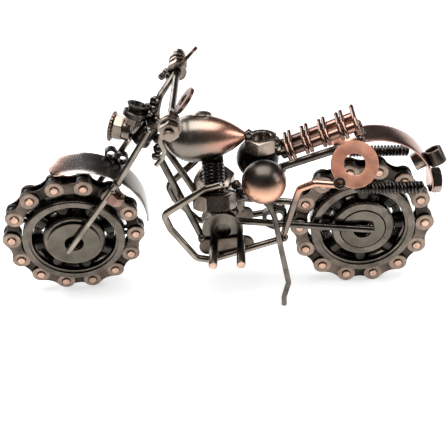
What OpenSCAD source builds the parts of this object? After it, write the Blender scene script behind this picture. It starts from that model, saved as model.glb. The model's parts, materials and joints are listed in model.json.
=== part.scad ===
// Welded scrap-metal motorcycle, built from bearings, chain links, nuts, bolts and bent wire.
// Millimetres. -X is the front of the bike, +Y its right side, +Z up, floor at z = 0.

/* [Wheels] */
// Distance between the two wheel axles
wheelbase = 134; // [130:1:138]
// Chain pitch, pin to pin
chain_pitch = 12.7; // [12.6:0.1:12.8]
// Diameter of a chain roller
roller_d = 7.75; // [7.6:0.05:7.9]
// Outer diameter of the wheel bearing
bearing_od = 47; // [46.6:0.1:47.2]
// Bore of the wheel bearing
bearing_bore = 20; // [19.6:0.1:20.4]
// Width of the wheel bearing
bearing_w = 14; // [13.6:0.1:14.2]

/* [Frame] */
// Diameter of the frame wire
frame_wire_d = 3.2; // [3:0.1:3.4]
// Diameter of the kickstand wire
stand_wire_d = 2.6; // [2.4:0.1:2.8]
// Diameter of the side balls
side_ball_d = 19.4; // [19:0.2:20]
// Diameter of the fuel tank
tank_d = 20.6; // [20:0.2:21]
// Outer diameter of the side cover washers
side_washer_d = 20.2; // [19.8:0.2:21]

/* [Steering] */
// Rake of the steering axis, from vertical
rake = 38; // [37:0.5:39]
// Turn of the front end at rest, to the left
rest_turn = 10.2; // [9:0.2:11]
// Diameter of the fork wire
fork_wire_d = 2.8; // [2.6:0.1:2.9]
// Diameter of the handlebar wire
bar_wire_d = 3; // [2.6:0.1:3.1]

/* [Hidden] */
$fn = 48;
// Largest turn of a wire between two of its rings
bend_step = 20;

// Moves the whole bike so that its box is centred over the origin
centre_shift = [-1.65, 1.9, 0];

// Chain ring: an even number of links closed into a circle
link_count = 14;
link_step = 360 / link_count;
pin_circle_r = chain_pitch / (2 * sin(link_step / 2));
lobe_r = 4.25;
waist_w = 6.2;
pin_r = 1.8;
pin_hole_r = 1.85;
roller_half_w = 1.55;
inner_plate_y = 1.65;
plate_t = 1;
outer_plate_y = 2.7;
pin_half_l = 4.6;
front_phase = 97.46;
rear_phase = -0.26;
// A wheel stands on its lowest link lobe
front_axle_z = 32.75;
rear_axle_z = 32.08;

// Ball bearing
race_half_w = bearing_w / 2;
race_r = bearing_od / 2;
bore_r = bearing_bore / 2;
ball_r = 3.97;
ball_count = 8;
ball_pitch_r = 16.75;
groove_gap = 0.05;
shoulder_out_r = 19.3;
shoulder_in_r = 14.2;
race_lip_r = 20.4;
race_lip_depth = 1.2;
race_chamfer = 0.9;
cage_t = 0.8;
cage_in_r = 15.1;
cage_out_r = 18.4;
pocket_gap = 0.1;
front_cage_turn = 8;
rear_cage_turn = 0;

// Steering axis, through the head
head_p = [-26, 0, 84];
steer_axis = [sin(rake), 0, cos(rake)];

// ---- Bent wires ----
function unit(v) = v / norm(v);
function bend_angle(p, q, s) = acos(min(1, max(-1, unit(q - p) * unit(s - q))));

// Points on the round bend at corner q, between straight runs from p and to s
function bend(p, q, s, bend_r) =
    let (
        u = unit(q - p),
        v = unit(s - q),
        turn = bend_angle(p, q, s),
        n = unit(v - (u * v) * u),
        c = q - bend_r * tan(turn / 2) * u + bend_r * n,
        steps = max(1, ceil(turn / bend_step))
    )
    [for (k = [0 : steps]) c + bend_r * (sin(turn * k / steps) * u - cos(turn * k / steps) * n)];

function route(pts, bend_r) = [
    pts[0],
    for (i = [1 : len(pts) - 2])
        each bend(pts[i - 1], pts[i], pts[i + 1], bend_r),
    pts[len(pts) - 1]
];

// Direction of travel at point i of a route
function heading(path, i) =
    i == 0 ? unit(path[1] - path[0])
    : i == len(path) - 1 ? unit(path[i] - path[i - 1])
    : unit(unit(path[i] - path[i - 1]) + unit(path[i + 1] - path[i]));

// Side direction carried along the route without twisting
function carried(path, i = 0, side = undef) =
    let (
        t = heading(path, i),
        start = abs(t[2]) < 0.8 ? [0, 0, 1] : [1, 0, 0],
        raw = is_undef(side) ? start : side,
        n = unit(raw - (raw * t) * t)
    )
    i == len(path) - 1 ? [n] : concat([n], carried(path, i + 1, n));

// Round wire through a list of corners, each corner bent to the same radius
module wire(pts, r, bend_r, sides = 12) {
    path = len(pts) > 2 ? route(pts, bend_r) : pts;
    side_dirs = carried(path);
    last = len(path) - 1;
    points = [
        for (i = [0 : last])
            let (n = side_dirs[i], b = cross(heading(path, i), n))
                for (j = [0 : sides - 1])
                    path[i] + r * (cos(360 * j / sides) * n + sin(360 * j / sides) * b)
    ];
    walls = [
        for (i = [0 : last - 1])
            for (j = [0 : sides - 1])
                let (a = i * sides + j, b = i * sides + (j + 1) % sides)
                    each [[a, a + sides, b], [b, a + sides, b + sides]]
    ];
    start_cap = [for (j = [0 : sides - 1]) j];
    end_cap = [for (j = [sides - 1 : -1 : 0]) last * sides + j];
    polyhedron(points, concat(walls, [start_cap, end_cap]), convexity = 6);
}

// Straight round bar between two points
module bar(p, q, r) {
    d = q - p;
    translate(p)
        rotate([0, acos(d[2] / norm(d)), atan2(d[1], d[0])])
            cylinder(r = r, h = norm(d));
}

// The same shape on the left (-Y) or the right (+Y)
function flip(p) = [p[0], -p[1], p[2]];
function flipped(pts) = [for (p = pts) flip(p)];

// Turns the children so that their +Z points along a direction
module aim(dir) {
    rotate([0, acos(dir[2] / norm(dir)), atan2(dir[1], dir[0])])
        children();
}

// Hexagon nut, axis on Z, centred; flats is the size across flats
module hex_nut(flats, t, hole_r, corner_turn = 0) {
    difference() {
        intersection() {
            rotate([0, 0, corner_turn])
                cylinder(r = flats / sqrt(3), h = t, center = true, $fn = 6);
            cylinder(r = flats / sqrt(3) * 0.965, h = t, center = true);
        }
        cylinder(r = hole_r, h = t + 2, center = true);
    }
}

module washer(r, hole_r, t) {
    difference() {
        cylinder(r = r, h = t, center = true);
        cylinder(r = hole_r, h = t + 2, center = true);
    }
}

// Ridged bar, axis on Z from 0: round-bottomed ridges at an even pitch
module ridged_bar(r, h, pitch, depth, hole_r = 0) {
    count = floor(h / pitch);
    rotate_extrude()
        union() {
            translate([hole_r, 0])
                square([r - depth - hole_r, h]);
            for (i = [0 : count - 1])
                translate([0, (i + 0.5) * h / count])
                    polygon([
                        [r - depth - 0.3, -0.44 * pitch], [r - depth, -0.44 * pitch], [r, -0.1 * pitch],
                        [r, 0.1 * pitch], [r - depth, 0.44 * pitch], [r - depth - 0.3, 0.44 * pitch]
                    ]);
        }
}

// ---- Placement of the moving groups ----
module bike() {
    translate(centre_shift)
        children();
}

// The front end, modelled pointing straight ahead and then turned to its rest angle
module steered() {
    bike()
        translate(head_p)
            rotate(a = rest_turn, v = steer_axis)
                translate(-head_p)
                    children();
}

module at_front_axle() {
    steered()
        translate([-wheelbase / 2, 0, front_axle_z])
            children();
}

module at_rear_axle() {
    bike()
        translate([wheelbase / 2, 0, rear_axle_z])
            children();
}

// Wheel pieces are drawn around +Z and laid over so that +Z of the drawing is the axle
module axle_up() {
    rotate([90, 0, 0])
        children();
}

// ---- Chain ring ----
module link_plate() {
    difference() {
        linear_extrude(plate_t)
            difference() {
                union() {
                    for (x = [-1, 1])
                        translate([x * chain_pitch / 2, 0])
                            circle(lobe_r);
                    square([chain_pitch, waist_w], center = true);
                }
                for (x = [-1, 1])
                    translate([x * chain_pitch / 2, 0])
                        circle(pin_hole_r);
            }
        for (y = [-1, 1])
            translate([0, y * (waist_w / 2 + 7.1), -1])
                cylinder(r = 7.6, h = plate_t + 2);
    }
}

module link_ring(phase, first, plate_y) {
    apothem = pin_circle_r * cos(link_step / 2);
    for (i = [first : 2 : link_count - 1])
        rotate([0, 0, phase - (i + 0.5) * link_step])
            translate([apothem, 0, 0])
                rotate([0, 0, 90])
                    for (side = [0, 1])
                        mirror([0, 0, side])
                            translate([0, 0, plate_y])
                                link_plate();
}

module at_pins(phase) {
    for (i = [0 : link_count - 1])
        rotate([0, 0, phase - i * link_step])
            translate([pin_circle_r, 0, 0])
                children();
}

module outer_links(phase) {
    color("Sienna")
        axle_up()
            link_ring(phase, 0, outer_plate_y);
}

module inner_links(phase) {
    color("Gray")
        axle_up()
            link_ring(phase, 1, inner_plate_y);
}

module chain_pins(phase) {
    color("Peru")
        axle_up()
            at_pins(phase)
                cylinder(r = pin_r, h = 2 * pin_half_l, center = true);
}

module chain_rollers(phase) {
    color("DimGray")
        axle_up()
            at_pins(phase)
                washer(roller_d / 2, pin_hole_r, 2 * roller_half_w);
}

// Small beads that weld the chain ring to the bearing, on every second pin
weld_r = 1.15;
weld_at_r = 23.95;
weld_y = 2.1;

module wheel_welds(phase) {
    color("DimGray")
        axle_up()
            for (i = [0 : 2 : link_count - 1])
                for (side = [-1, 1])
                    rotate([0, 0, phase - i * link_step])
                        translate([weld_at_r, 0, side * weld_y])
                            sphere(weld_r);
}

// ---- Bearing ----
module outer_race() {
    color("DarkGray")
        axle_up()
            rotate_extrude()
                difference() {
                    polygon([
                        [shoulder_out_r, -race_half_w + race_lip_depth], [race_lip_r, -race_half_w + race_lip_depth],
                        [race_lip_r, -race_half_w], [race_r - race_chamfer, -race_half_w],
                        [race_r, -race_half_w + race_chamfer], [race_r, race_half_w - race_chamfer],
                        [race_r - race_chamfer, race_half_w], [race_lip_r, race_half_w],
                        [race_lip_r, race_half_w - race_lip_depth], [shoulder_out_r, race_half_w - race_lip_depth]
                    ]);
                    translate([ball_pitch_r, 0])
                        circle(ball_r + groove_gap);
                }
}

module inner_race() {
    color("DarkGray")
        axle_up()
            rotate_extrude()
                difference() {
                    polygon([
                        [bore_r, -race_half_w], [shoulder_in_r - race_chamfer, -race_half_w],
                        [shoulder_in_r, -race_half_w + race_chamfer], [shoulder_in_r, race_half_w - race_chamfer],
                        [shoulder_in_r - race_chamfer, race_half_w], [bore_r, race_half_w]
                    ]);
                    translate([ball_pitch_r, 0])
                        circle(ball_r + groove_gap);
                }
}

module bearing_balls(turn) {
    color("Silver")
        axle_up()
            for (i = [0 : ball_count - 1])
                rotate([0, 0, turn + i * 360 / ball_count])
                    translate([ball_pitch_r, 0, 0])
                        sphere(ball_r);
}

// One flat ring with a round pocket around every ball
module ball_cage(turn) {
    pocket_r = ball_r + pocket_gap;
    color("SlateGray")
        axle_up()
            difference() {
                union() {
                    washer(cage_out_r, cage_in_r, 2 * cage_t);
                    at_pockets(turn)
                        cylinder(r = pocket_r + cage_t, h = cage_out_r - cage_in_r - 0.6, center = true);
                }
                at_pockets(turn)
                    cylinder(r = pocket_r, h = 6, center = true);
            }
}

module at_pockets(turn) {
    for (i = [0 : ball_count - 1])
        rotate([0, 0, turn + i * 360 / ball_count])
            translate([ball_pitch_r, 0, 0])
                rotate([0, 90, 0])
                    children();
}

// Two washers that close the bore, one on each side
module hub_discs(r, hole_r, inner_y, t) {
    color("Gray")
        for (side = [-1, 1])
            translate([0, side * (inner_y + t / 2), 0])
                axle_up()
                    washer(r, hole_r, t);
}

front_disc_t = 1.3;
rear_disc_t = 1.6;
rear_disc_y = race_half_w - 1.3;

module front_outer_links() { at_front_axle() outer_links(front_phase); }
module front_inner_links() { at_front_axle() inner_links(front_phase); }
module front_chain_pins() { at_front_axle() chain_pins(front_phase); }
module front_chain_rollers() { at_front_axle() chain_rollers(front_phase); }
module front_outer_race() { at_front_axle() outer_race(); }
module front_wheel_welds() { at_front_axle() wheel_welds(front_phase); }
module front_balls() { at_front_axle() bearing_balls(front_cage_turn); }
module front_ball_cage() { at_front_axle() ball_cage(front_cage_turn); }
module front_inner_race() { at_front_axle() inner_race(); }
module front_hub_discs() { at_front_axle() hub_discs(11.8, 4.3, race_half_w, front_disc_t); }

module rear_outer_links() { at_rear_axle() outer_links(rear_phase); }
module rear_inner_links() { at_rear_axle() inner_links(rear_phase); }
module rear_chain_pins() { at_rear_axle() chain_pins(rear_phase); }
module rear_chain_rollers() { at_rear_axle() chain_rollers(rear_phase); }
module rear_outer_race() { at_rear_axle() outer_race(); }
module rear_wheel_welds() { at_rear_axle() wheel_welds(rear_phase); }
module rear_balls() { at_rear_axle() bearing_balls(rear_cage_turn); }
module rear_ball_cage() { at_rear_axle() ball_cage(rear_cage_turn); }
module rear_inner_race() { at_rear_axle() inner_race(); }
module rear_hub_discs() { at_rear_axle() hub_discs(bore_r - 0.05, 4.4, rear_disc_y, rear_disc_t); }

// ---- Steering assembly, drawn pointing straight ahead ----
fork_r = fork_wire_d / 2;
fork_y = race_half_w + front_disc_t + 0.05 + fork_r;
fork_foot = [-70.5, -fork_y, 29.3];
fork_knee = [-41.8, -fork_y, 65.7];
fork_top = [-24.9, -7, 89.1];
stem_r = 2.4;
sleeve_in_r = stem_r + 0.06;
sleeve_out_r = 4;
sleeve_h = 8;
clamp_t = 2.4;

// Stem bolt through the head, with the two yokes that hold the fork legs
module steering_stem() {
    yoke_half = 8.2;
    color("DimGray")
        steered()
            translate(head_p)
                rotate([0, rake, 0]) {
                    cylinder(r = stem_r, h = sleeve_h + 2 * clamp_t + 1.2, center = true);
                    for (side = [-1, 1])
                        translate([0, 0, side * (sleeve_h / 2 + 0.35 + clamp_t / 2)])
                            cylinder(r = 4.2, h = clamp_t, center = true);
                    translate([-2.6, 0, sleeve_h / 2 + 0.35 + clamp_t / 2])
                        cube([3.2, 2 * yoke_half - 3, clamp_t], center = true);
                }
}

module fork_legs() {
    leg_pts = [fork_foot, fork_knee, fork_top];
    color("Gray")
        steered()
            for (pts = [leg_pts, flipped(leg_pts)])
                wire(pts, fork_r, 14);
}

// Hexagon nuts welded behind the legs, above the wheel
module fork_nuts() {
    leg_dir = unit(fork_knee - fork_foot);
    across = [leg_dir[2], 0, -leg_dir[0]];
    color("Peru")
        steered()
            for (side = [1, -1])
                translate([fork_knee[0], side * fork_knee[1], fork_knee[2]])
                    translate(-8 * [leg_dir[0], 0, leg_dir[2]] + 3.2 * across)
                        aim(leg_dir)
                            hex_nut(6.8, 4.8, 1.6);
}

// Mudguard: part of a wide ring, with rounded front corners
front_guard_c = [-61.6, 0, 42.1];
front_guard_r = 30.3;
front_guard_half_w = 7.7;
front_guard_from = -10;
front_guard_to = 108;
guard_t = 0.9;
rear_guard_c = [71, 0, 51.8];
rear_guard_r = 26;
rear_guard_half_w = 7.3;
rear_guard_from = -8;
rear_guard_to = 107;
guard_corner_r = 5.5;

// Sharp corner between two edges, to be cut away
module corner_cutter(r) {
    difference() {
        translate([-1, -1, -4])
            cube([r + 1, r + 1, 8]);
        translate([r, r, -5])
            cylinder(r = r + 0.06, h = 10);
    }
}

module guard(c, r, half_w, from, to) {
    translate(c)
        difference() {
            rotate([90, 0, 0])
                rotate([0, 0, from])
                    translate([0, 0, -half_w])
                        rotate_extrude(angle = to - from)
                            translate([r - guard_t / 2, 0])
                                square([guard_t, 2 * half_w]);
            for (end = [0, 1])
                for (side = [-1, 1])
                    rotate([0, -(end == 0 ? from : to), 0])
                        translate([r, side * half_w, 0])
                            rotate([0, -90, 0])
                                mirror([end, 0, 0])
                                    mirror([0, side > 0 ? 1 : 0, 0])
                                        corner_cutter(guard_corner_r);
        }
}

module front_fender() {
    color("Peru")
        steered()
            guard(front_guard_c, front_guard_r, front_guard_half_w, front_guard_from, front_guard_to);
}

// Two short tubes lying on top of the front mudguard, beside the right fork leg
module fender_bushes() {
    color("DimGray")
        steered()
            for (a = [48, 58])
                translate(front_guard_c)
                    rotate([0, -a, 0])
                        translate([front_guard_r + guard_t / 2 + 2.65, 6.6, 0])
                            rotate([90, 0, 0])
                                washer(2.8, 1.7, 3.6);
}

// Headlight: axis through the head, pitched up and a little to the right
light_dir = [-0.92, 0.28, 0.25];
light_p = [-31.25, 0, 84];

module on_light_axis(d) {
    translate(light_p + d * unit(light_dir))
        aim(light_dir)
            children();
}

module headlight_rim() {
    color("Sienna")
        steered()
            on_light_axis(10.3)
                difference() {
                    cylinder(r = 6.6, h = 1.7, center = true);
                    translate([0, 0, 0.1])
                        cylinder(r = 5.4, h = 1.6);
                }
}

module headlight_shell() {
    color("Gray")
        steered()
            on_light_axis(7.4)
                cylinder(r = 5.7, h = 4.2, center = true, $fn = 6);
}

module headlight_nuts() {
    color("DimGray")
        steered() {
            on_light_axis(3.6)
                washer(4.6, 1.9, 3.4);
            translate(gauge_p - 4.5 * unit(gauge_dir))
                aim(gauge_dir)
                    hex_nut(6.2, 3.4, 1.9);
        }
}

// Speedometer cup, tilted towards the rider
gauge_p = [-29.6, 0, 94.6];
gauge_dir = [0.38, 0.2, 0.9];

module gauge_cup() {
    color("DimGray")
        steered()
            translate(gauge_p)
                aim(gauge_dir)
                    difference() {
                        union() {
                            cylinder(r1 = 3, r2 = 4.7, h = 3);
                            translate([0, 0, -2.8])
                                cylinder(r = 5.2, h = 2.8);
                        }
                        translate([0, 0, 1.2])
                            cylinder(r = 2.4, h = 4);
                    }
}

// Handlebar: one wire, from the head up and out to both grips. It was bent by hand, so that it
// stands square to the frame while the wheel is turned.
bar_r = bar_wire_d / 2;
bar_turn = -rest_turn;

// Undoes the turn of the front end for pieces that stand square to the frame
module square_to_frame() {
    translate(head_p)
        rotate(a = bar_turn, v = steer_axis)
            translate(-head_p)
                children();
}

cross_near = [-12.2, -36.5, 100.9];
cross_far = [-12.6, 30.5, 104.2];
riser_pts = [[-13.4, 14.8, 103.2], [-19.6, 3.2, 98.2], [-21.3, 0.6, 92.6], [-21.6, 0, 88.6]];

module handlebar() {
    color("DimGray")
        steered()
            square_to_frame() {
                bar(cross_near, cross_far, bar_r);
                wire(riser_pts, bar_r, 6);
            }
}

function on_bar(d) = cross_near + d * unit(cross_far - cross_near);
bar_len = norm(cross_far - cross_near);

// Nuts and washers stacked on the bar as grips
module grip_nuts() {
    dir = cross_far - cross_near;
    color("Gray")
        steered()
            square_to_frame() {
                for (d = [2, 8.9])
                    translate(on_bar(d))
                        aim(dir)
                            hex_nut(7.2, 3, bar_r + 0.05);
                for (d = [4.5, 6.3])
                    translate(on_bar(d))
                        aim(dir)
                            washer(4.6, bar_r + 0.05, 1.3);
                for (d = [4.2, 8.2])
                    translate(on_bar(bar_len - d))
                        aim(dir)
                            washer(4.1, bar_r + 0.05, 2);
                translate(on_bar(bar_len - 11.4))
                    aim(dir)
                        hex_nut(7, 3, bar_r + 0.05);
                translate(on_bar(bar_len - 14.4))
                    aim(dir)
                        washer(4.3, bar_r + 0.05, 1.4);
            }
}

// Round bolt ends that close the grips
module grip_bolts() {
    dir = cross_far - cross_near;
    color("Gray")
        steered()
            square_to_frame() {
                translate(on_bar(0))
                    aim(-dir)
                        cylinder(r = 2.1, h = 2.2);
                translate(on_bar(bar_len))
                    aim(dir)
                        intersection() {
                            cylinder(r = 3.1, h = 4.4);
                            translate([0, 0, 0.8])
                                sphere(4.2);
                        }
            }
}

near_lever_r = 0.95;
far_lever_r = 1.5;
near_lever = [
    [-14.2, -27, 99.8], [-15.9, -27, 96.7], [-17.3, -27, 92.4], [-15.9, -27, 88.2], [-17.4, -27, 84.9],
    [-20.4, -27, 82]
];
far_lever = [[-14.5, 19, 104.4], [-17.8, 20.2, 101.6], [-20.8, 20.6, 98.8]];

module levers() {
    color("Silver")
        steered()
            square_to_frame() {
                wire(near_lever, near_lever_r, 2.2);
                wire(far_lever, far_lever_r, 2.2);
            }
}

// Mirrors: a round washer on the near side, an edge-on one on the far side
near_mirror_p = [-6.6, -22, 107.4];
near_mirror_dir = [0.765, 0, -0.644];
far_mirror_p = [-7.2, 18, 109.3];
far_mirror_dir = [0.68, -0.22, -0.7];

module mirrors() {
    color("Peru")
        steered()
            square_to_frame() {
                translate(near_mirror_p)
                    aim(near_mirror_dir)
                        washer(5.9, 2.5, 1.5);
                translate(far_mirror_p)
                    aim(far_mirror_dir)
                        washer(5.6, 2.4, 1.5);
            }
}

// Round weld beads, each one [centre, radius]
front_beads = [
    [[-25.6, -6.6, 88.4], 2.1], [[-25.6, 6.6, 88.4], 2.1], [[-42.3, -9.2, 65.2], 2.3],
    [[-42.3, 9.2, 65.2], 2.3], [[-44.6, -10.2, 61.6], 1.6], [[-44.6, 10.2, 61.6], 1.6], [[-24.4, 0.4, 92], 2.6], [[-21.6, -2.2, 90.2], 2],
    [[-24.4, 1.6, 95], 1.9], [[-33.7, 0.4, 81.9], 1.8], [[-69.4, -8.6, 31.4], 1.6], [[-69.4, 8.6, 31.4], 1.6]
];

module beads(list) {
    for (b = list)
        translate(b[0])
            sphere(b[1]);
}

// Beads along the handlebar wire and the right lever
bar_beads = [
    [[-21.8, 1.8, 97], 2.3], [[-22.4, 0.2, 94], 2.1], [[-15.6, 13.2, 102.4], 2.1], [[-17.4, 20, 102], 2.1],
    [[-19.6, 20.4, 100], 1.9], [[-11.3, -22, 102.5], 2]
];

module front_welds() {
    color("SlateGray")
        steered() {
            beads(front_beads);
            square_to_frame()
                beads(bar_beads);
        }
}

// ---- Frame ----
wire_r = frame_wire_d / 2;

module head_sleeve() {
    color("DimGray")
        bike()
            translate(head_p)
                rotate([0, rake, 0])
                    washer(sleeve_out_r, sleeve_in_r, sleeve_h);
}

module down_tubes() {
    color("Gray")
        bike() {
            wire([[-24.6, -4.6, 73.6], [-21.9, -5.4, 74.6], [-5.6, -9.1, 31]], wire_r, 2.4);
            wire([[-24.2, 4.6, 75], [-20.6, 5.2, 73.4], [-6, 9.1, 40]], wire_r, 4);
        }
}

crash_left = [
    [5, -15.4, 64.6], [-2, -15.2, 62.7], [-21.9, -12.7, 48.6], [-19.6, -13, 41], [-9.2, -13.9, 25],
    [-3, -13.9, 23.6], [31, -11.6, 32.4]
];
crash_right = [
    [-7.4, 13.4, 61], [-22, 12.7, 48.2], [-19.6, 13, 40], [-9.6, 13.9, 27], [-3, 13.9, 26], [31, 11.6, 32.4]
];

module crash_bar_left() {
    color("DarkGray")
        bike()
            wire(crash_left, wire_r, 3.4);
}

module crash_bar_right() {
    color("DimGray")
        bike()
            wire(crash_right, wire_r, 3.4);
}

// Two straight bars from the crankcase back to the rear hub
stay_y = race_half_w + 0.3 + wire_r + 0.1;

module chainstays() {
    color("DimGray")
        bike()
            for (side = [-1, 1])
                bar([10, side * 9.6, 41.6], [71.8, side * stay_y, 33], wire_r);
}

// Wire that rises from the left lower rail and runs back to the left side washer
stay_pts = [[30.6, -11.4, 33.6], [38.2, -12.6, 58.9], [45, -13.8, 62.1], [57, -16.6, 62]];

module rear_stay() {
    color("Peru")
        bike()
            wire(stay_pts, wire_r, 4);
}

module seat_rail() {
    color("DimGray")
        bike()
            wire([[27.5, 0, 61.6], [62.4, 0, 72.6], [68.4, 0, 76]], 1.8, 6);
}

// Fuel tank: a round body with a blunt nose and a tapering tail
tank_nose = 13.4;
tank_tail = 24;
tank_x = -6.6;
tank_z = 79.2;
tank_r = tank_d / 2;

// Radius of an arc that falls from r to nothing over a length
function arc_fall(x, len, r) =
    let (arc_r = (len * len + r * r) / (2 * r))
    r - arc_r + sqrt(arc_r * arc_r - x * x);

module fuel_tank() {
    steps = 12;
    color("Peru")
        bike()
            translate([tank_x, 0, tank_z])
                rotate([0, 90, 0])
                    rotate_extrude($fn = 96)
                        polygon([
                            for (k = [-steps : steps])
                                let (len = k < 0 ? tank_nose : tank_tail, x = len * sin(90 * k / steps))
                                    [max(0, arc_fall(x, len, tank_r)), x]
                        ]);
}

module tank_cap() {
    color("Tan")
        bike()
            translate([-2.2, 0, tank_z])
                rotate([-14, 0, 0])
                    translate([0, 0, tank_r - 0.35])
                        intersection() {
                            translate([0, 0, -3])
                                sphere(4.9);
                            cylinder(r = 4.3, h = 4);
                        }
}

// Two hexagon bolts that stand as cylinders under the tank, their heads spread outwards.
// Each one: [centre of the head, lean towards the middle]
bolt_r = 5;
bolt_head_flats = 17;
bolt_head_h = 7;
bolt_pitch = 1.5;
bolts = [[[1.2, -12.6, 54.5], -23, 14.2], [[0.2, 9.4, 51.2], 9.5, 14.8]];

module cylinder_bolt(shank_h) {
    intersection() {
        rotate([0, 0, 12])
            cylinder(r = bolt_head_flats / sqrt(3), h = bolt_head_h, center = true, $fn = 6);
        translate([0, 0, 2.5])
            cylinder(r1 = 7.4, r2 = 13, h = bolt_head_h + 5, center = true);
    }
    translate([0, 0, bolt_head_h / 2])
        ridged_bar(bolt_r, shank_h, bolt_pitch, 0.75);
}

module cylinder_bolts() {
    color("DimGray")
        bike()
            for (b = bolts)
                translate(b[0])
                    rotate([b[1], 0, 0])
                        cylinder_bolt(b[2]);
}

// Crankcase: a round core across the frame, closed by a thick washer on each side
case_p = [3.5, 0, 37.5];

module crankcase() {
    color("Gray")
        bike()
            translate(case_p)
                rotate([90, 0, 0]) {
                    cylinder(r = 6.4, h = 17.4, center = true);
                    for (side = [-1, 1])
                        translate([0, 0, side * 9.9])
                            washer(9.3, 3.6, 2.4);
                    translate([0, 8.4, 0])
                        cube([13, 5.2, 12], center = true);
                }
}

peg_y = 31.8;
peg_r = 1.95;
peg_x = [-0.6, 11.6];
peg_z = [33.6, 33.5];
plate_front = [-3.6, 29.8];
plate_rear = [13.3, 30.6];
plate_half_h = 4.1;
plate_y = 11.9;

// Flat link plate outside each crankcase washer, with the two footpegs through it
module footpeg_plates() {
    color("DarkGray")
        bike()
            for (side = [-1, 1])
                translate([0, side * plate_y, 0])
                    rotate([90, 0, 0])
                        linear_extrude(1.8, center = true)
                            union() {
                                for (p = [plate_front, plate_rear])
                                    translate(p)
                                        circle(plate_half_h);
                                polygon([
                                    plate_front + [0, plate_half_h], plate_front - [0, plate_half_h],
                                    plate_rear - [0, plate_half_h], plate_rear + [0, plate_half_h]
                                ]);
                            }
}

module footpegs() {
    color("Gray")
        bike()
            for (side = [-1, 1])
                for (i = [0, 1])
                    translate([peg_x[i], side * (plate_y - 0.9), peg_z[i]])
                        rotate([side > 0 ? -90 : 90, 0, 0])
                            cylinder(r = peg_r, h = peg_y - plate_y + 0.9);
}

module side_balls() {
    color("Peru")
        bike()
            for (p = [[23, -10.8, 62], [20.6, 10.8, 61.8]])
                translate(p)
                    sphere(side_ball_d / 2);
}

module seat_nut() {
    color("Tan")
        bike()
            translate([22.5, 0, 75.5])
                hex_nut(13, 6.4, 4.2, 22);
}

// Seat: two thick rods that rise towards the back, held by bent wire clips
rod_r = 2.4;
rod_y = 4.2;
seat_front = [31, 71.6];
seat_back = [63.7, 83.8];
seat_dir = unit(seat_back - seat_front);
seat_normal = [-seat_dir[1], seat_dir[0]];

function on_seat(d, h) = seat_front + d * seat_dir + h * seat_normal;

module seat_rods() {
    color("DimGray")
        bike()
            for (side = [-1, 1])
                bar(
                    [seat_front[0], side * rod_y, seat_front[1]],
                    [seat_back[0], side * rod_y, seat_back[1]], rod_r
                );
}

clip_r = 0.9;
clip_lie = rod_r + clip_r + 0.06;
clip_at = [4.4, 12.3, 20.2, 28.1];
clip_gap = 2;
clip_foot = -2.4;

// Points of one clip leg: far tip, over both rods, then down the near side
function clip_leg(d, tip) = [
    for (q = [[rod_y + 1.8 + tip, clip_lie + 0.4], [rod_y, clip_lie], [-rod_y, clip_lie],
              [-rod_y - clip_lie, clip_lie * 0.2], [-rod_y - clip_lie, clip_foot]])
        let (p = on_seat(d, q[1])) [p[0], q[0], p[1]]
];

module clip(d) {
    wire(clip_leg(d - clip_gap / 2, 0), clip_r, 1.8);
    wire(clip_leg(d + clip_gap / 2, 0.6), clip_r, 1.8);
}

module seat_clips() {
    color("Peru")
        bike() {
            for (d = clip_at)
                clip(d);
            wire(clip_leg(34.2, 1.4), clip_r + 0.1, 1.8);
        }
}

// Side washers face outwards and up; each one has a small eyelet at its lower front edge
washer_p = [61.4, -13, 69.9];
washer_dir = [0.05, -0.82, 0.56];

module side_washers() {
    color("Sienna")
        bike()
            for (side = [0, 1])
                mirror([0, side, 0]) {
                    translate(washer_p)
                        aim(washer_dir)
                            washer(side_washer_d / 2, 4.7, 1.6);
                    translate([54.6, -18.4, 64.2])
                        aim(washer_dir)
                            washer(2.6, 1.1, 1.4);
                }
}

spring_r = 2.75;
spring_len = 29;

module exhaust_springs() {
    color("DimGray")
        bike()
            for (side = [-1, 1])
                translate([61.5, side * 16, 60])
                    rotate([0, 92, 0])
                        ridged_bar(spring_r, spring_len, 1.5, 0.6, 1.4);
}

module rear_fender() {
    color("Maroon")
        bike()
            guard(rear_guard_c, rear_guard_r, rear_guard_half_w, rear_guard_from, rear_guard_to);
}

// Tail light: a short tube standing off the back of the rear mudguard
tail_p = [98.2, 0, 64.6];
tail_dir = [-0.42, 0.2, 0.85];

module tail_light() {
    color("Sienna")
        bike()
            translate(tail_p)
                aim(tail_dir)
                    difference() {
                        cylinder(r = 3.8, h = 7, center = true);
                        cylinder(r = 2.6, h = 9, center = true);
                    }
}

// Nuts on both faces of the rear mudguard
module tail_nuts() {
    color("Tan")
        bike()
            translate(rear_guard_c) {
                rotate([0, -1, 0])
                    translate([rear_guard_r + guard_t / 2 + 1.95, 0, 0])
                        rotate([0, 90, 0])
                            hex_nut(10, 4, 2.4, 30);
                rotate([0, -29, 0])
                    translate([rear_guard_r - guard_t / 2 - 2.5, 0, 0])
                        rotate([0, 90, 0])
                            cylinder(r = 3.9, h = 5.2, center = true);
            }
}

stand_r = stand_wire_d / 2;
stand_pts = [
    [24.2, -12.6, 53.2], [27, -13.6, 45.4], [29.4, -16.6, 30], [32.3, -19.4, 12.8], [30, -19.6, 4.5],
    [30, -19.6, 0]
];

module kickstand() {
    color("DimGray")
        bike()
            wire(stand_pts, stand_r, 2.6);
}

module stand_nut() {
    color("Gray")
        bike()
            translate([27.1, -8.4, 42])
                rotate([90, 0, 0])
                    hex_nut(11, 3.6, 3.7, 30);
}

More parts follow.
